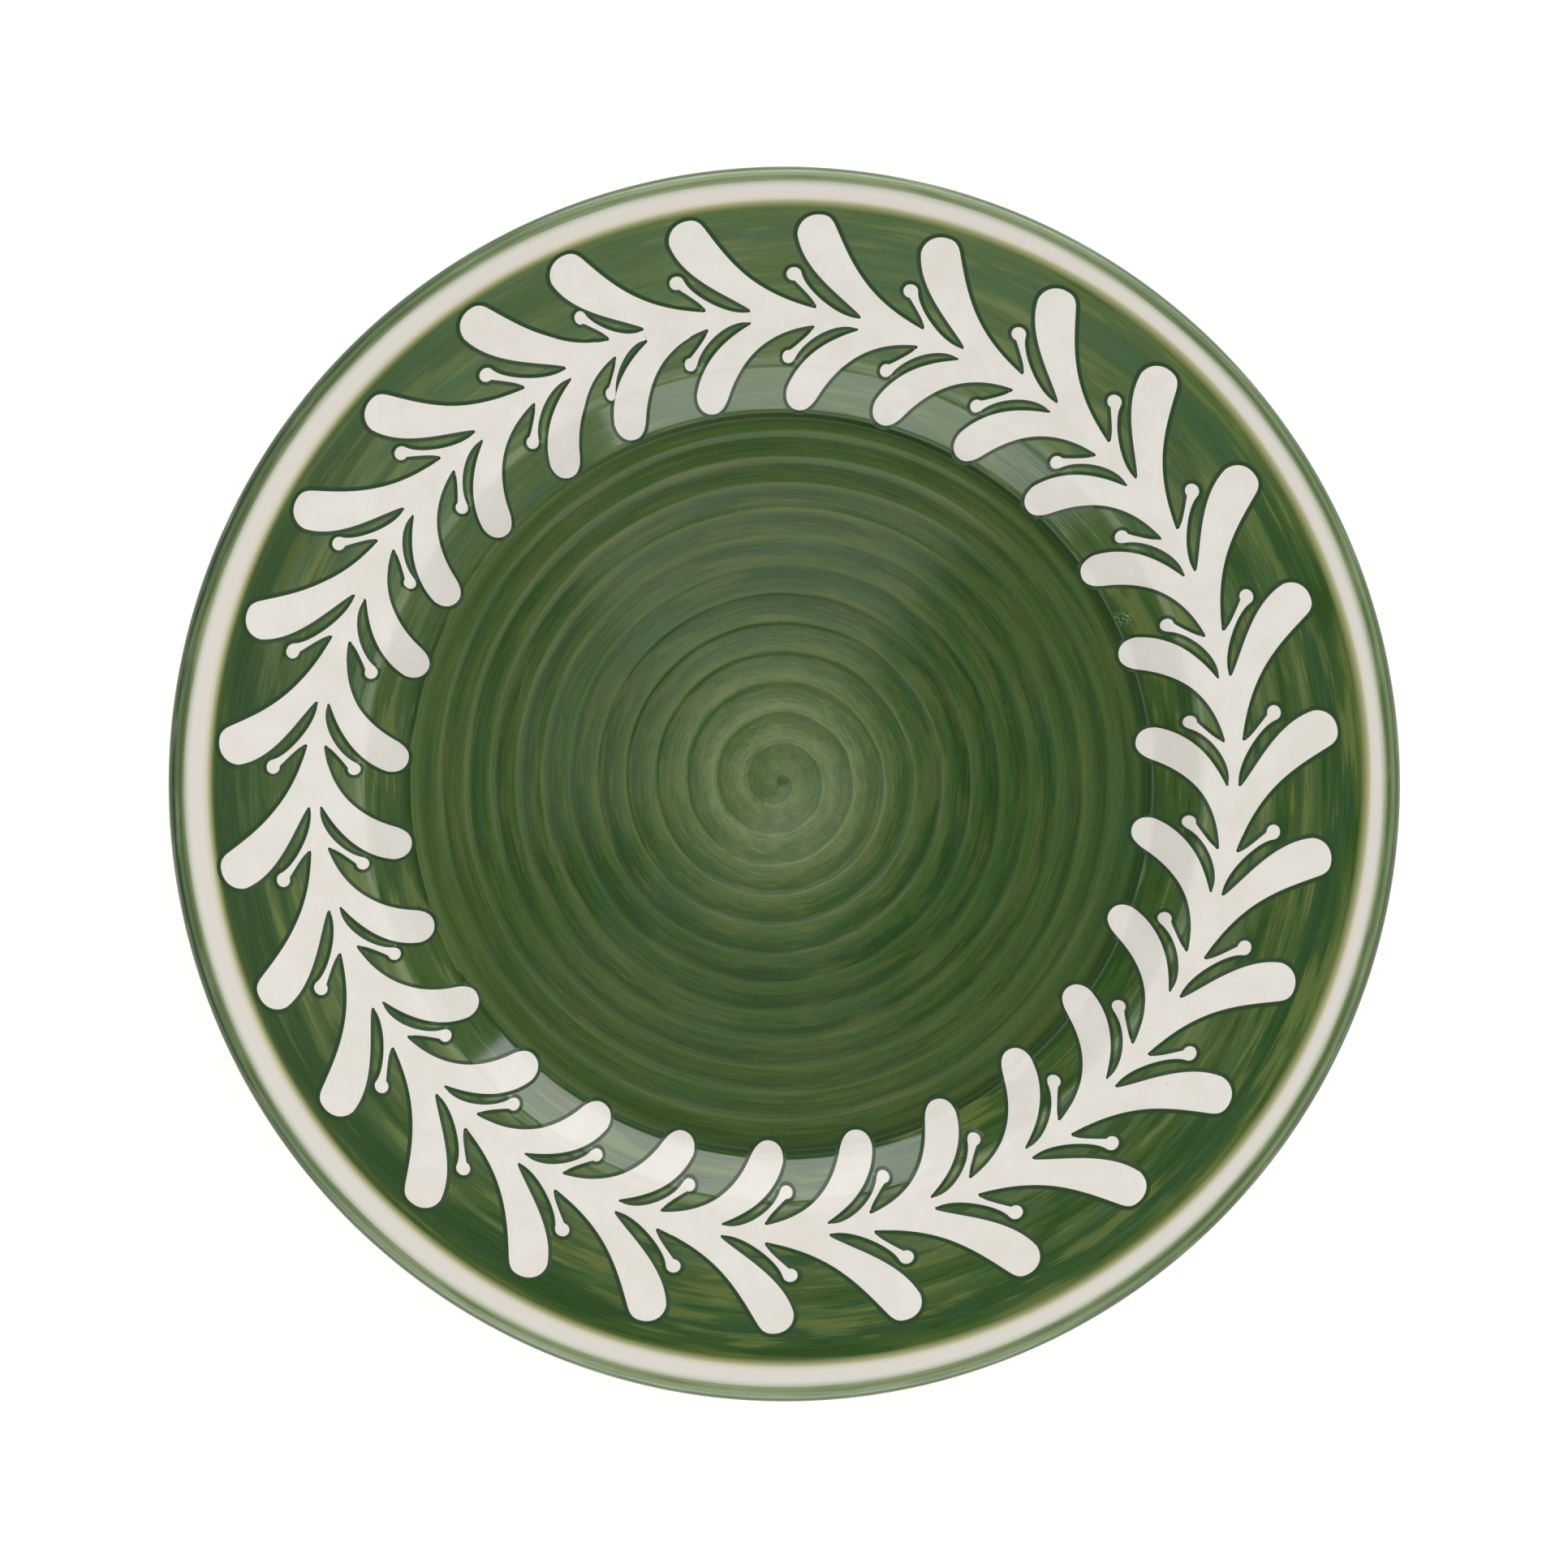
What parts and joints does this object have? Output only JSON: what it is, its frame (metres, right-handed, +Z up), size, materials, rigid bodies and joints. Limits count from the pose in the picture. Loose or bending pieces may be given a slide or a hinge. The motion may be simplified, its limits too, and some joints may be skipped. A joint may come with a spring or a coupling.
{
  "type": "dinner plate",
  "caption": "Hand painted ceramic dinner plate with a sunken well, a brushed green glaze, a garland of white leaf sprigs on the rim and a white band inside a green lip.",
  "frame": {"origin": "on the table plane, under the centre of the plate (centre of the foot ring's face)", "axes": "+Z up along the plate's axis, face up; +Y away from the front of the pattern; +X to the right"},
  "size_m": [0.2599, 0.26, 0.025],
  "materials": {
    "clay": "bare biscuit clay, matt",
    "back_glaze": "glossy pale glaze",
    "well_glaze": "glossy glaze over green colour brushed on in a spiral",
    "rim_glaze": "glossy glaze over green colour brushed on in rings",
    "white_band": "glossy white band with soft edges",
    "lip_glaze": "glossy thin green over white, worn to clay colour in places",
    "leaf_white": "smooth glossy white with a dark green edge line"
  },
  "bodies": {
    "root": {"clay_body": "clay", "back_glaze": "back_glaze", "base_glaze": "back_glaze", "well_glaze": "well_glaze", "rim_glaze": "rim_glaze", "rim_band": "white_band", "lip_glaze": "lip_glaze", "sprig_01": "leaf_white", "sprig_02": "leaf_white", "sprig_03": "leaf_white", "sprig_04": "leaf_white", "sprig_05": "leaf_white", "sprig_06": "leaf_white", "sprig_07": "leaf_white", "sprig_08": "leaf_white", "sprig_09": "leaf_white", "sprig_10": "leaf_white", "sprig_11": "leaf_white", "sprig_12": "leaf_white", "sprig_13": "leaf_white", "sprig_14": "leaf_white", "sprig_15": "leaf_white", "sprig_16": "leaf_white", "sprig_17": "leaf_white", "sprig_18": "leaf_white", "sprig_19": "leaf_white", "sprig_20": "leaf_white", "sprig_21": "leaf_white", "sprig_22": "leaf_white", "sprig_23": "leaf_white", "sprig_24": "leaf_white", "sprig_25": "leaf_white", "sprig_26": "leaf_white", "sprig_27": "leaf_white"}
  },
  "joints": []
}
